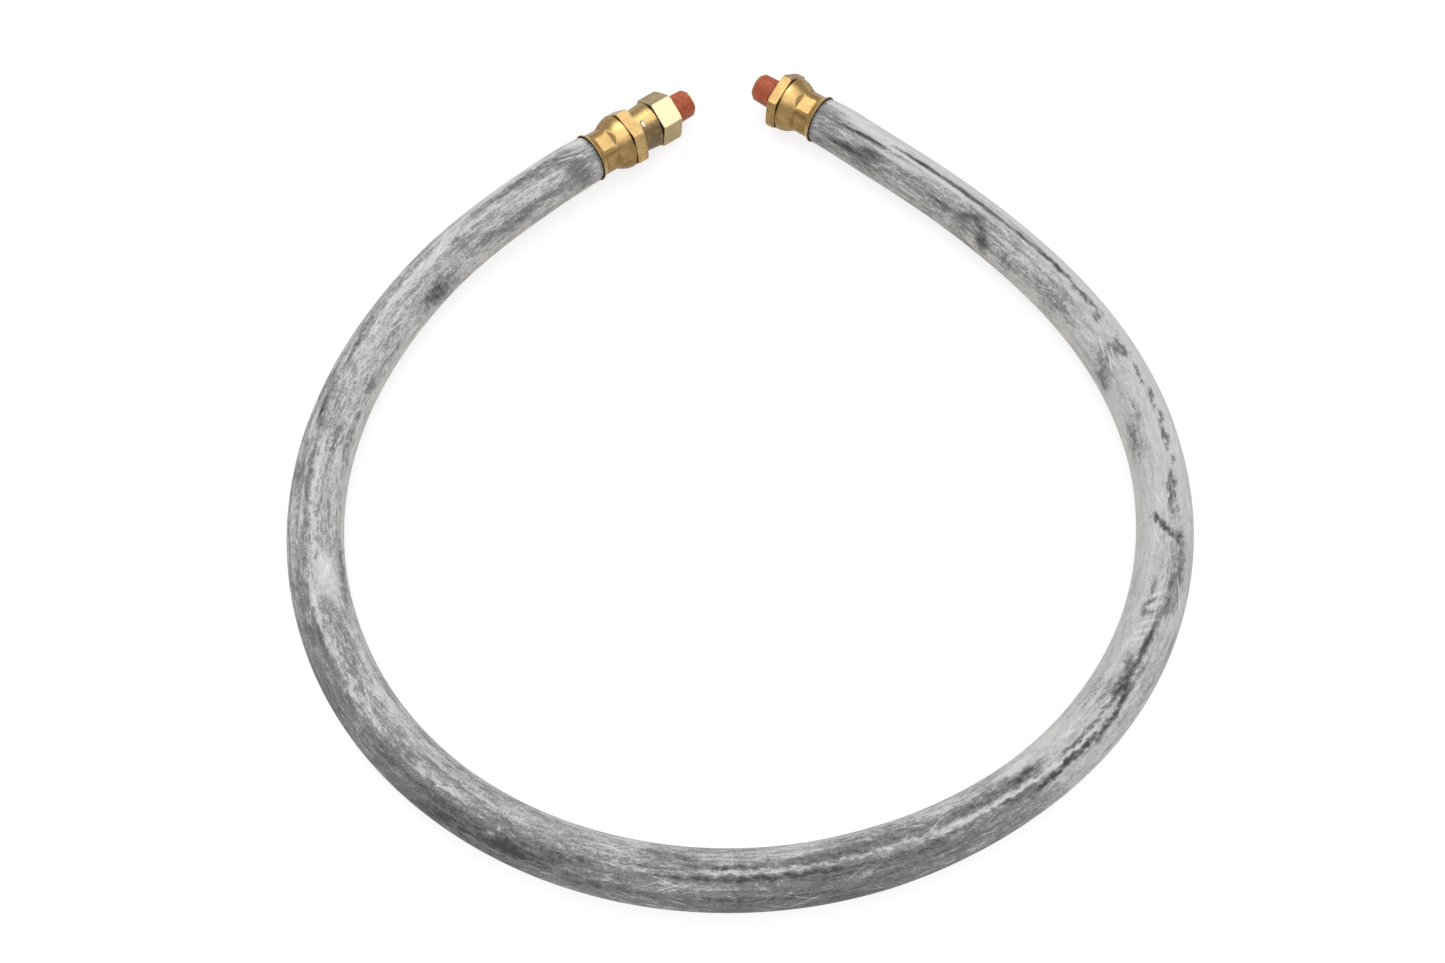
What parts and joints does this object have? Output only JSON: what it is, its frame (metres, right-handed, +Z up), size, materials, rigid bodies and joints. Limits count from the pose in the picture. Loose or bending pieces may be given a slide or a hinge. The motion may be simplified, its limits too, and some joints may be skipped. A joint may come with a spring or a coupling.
{
  "type": "hose assembly",
  "caption": "Short thick-walled rubber hose lying in an open loop between brass pipe-thread ends, one rigid and the other on a live swivel.",
  "frame": {"origin": "centre in plan of the two brass ends, on the surface that the hose lies on", "axes": "+Z up; +X from the swivel end's side to the fixed end's side; the hose's loop bows towards -Y, and the two brass ends point inwards and towards +Y"},
  "size_m": [0.3662, 0.3861, 0.0284],
  "materials": {
    "cover_rubber": "black rubber under a coat of grey chalky dust, cloth-wrapped look, matte",
    "liner_rubber": "smooth black rubber, satin",
    "textile_braid": "tight cord braid sealed in rubber",
    "forged_brass": "forged brass, worn satin with brown in the hollows",
    "turned_brass": "turned brass, bright",
    "pale_brass": "machined brass, pale and slightly green, satin",
    "red_sealant": "dried brick-red thread sealant, matte",
    "seal_rubber": "smooth black rubber",
    "bright_wire": "bright drawn wire"
  },
  "bodies": {
    "root": {"hose_liner": "liner_rubber", "hose_inner_braid": "textile_braid", "hose_outer_braid": "textile_braid", "hose_cover": "cover_rubber", "swivel_end_nut": "forged_brass", "swivel_end_sleeve": "turned_brass", "swivel_end_body": "forged_brass", "swivel_retaining_wire": "bright_wire", "fixed_end_nut": "forged_brass", "fixed_end_sleeve": "turned_brass", "fixed_end_body": "forged_brass", "fixed_thread_sealant": "red_sealant"},
    "swivel_tip": {"swivel_adapter": "pale_brass", "swivel_o_ring": "seal_rubber", "swivel_thread_sealant": "red_sealant"}
  },
  "joints": [
    {"name": "swivel_turn", "type": "hinge", "parent": "root", "child": "swivel_tip", "pos_m": [-0.03271, -0.00313, 0.01349], "axis": [0.7597, 0.6465, -0.0698], "continuous": true}
  ]
}
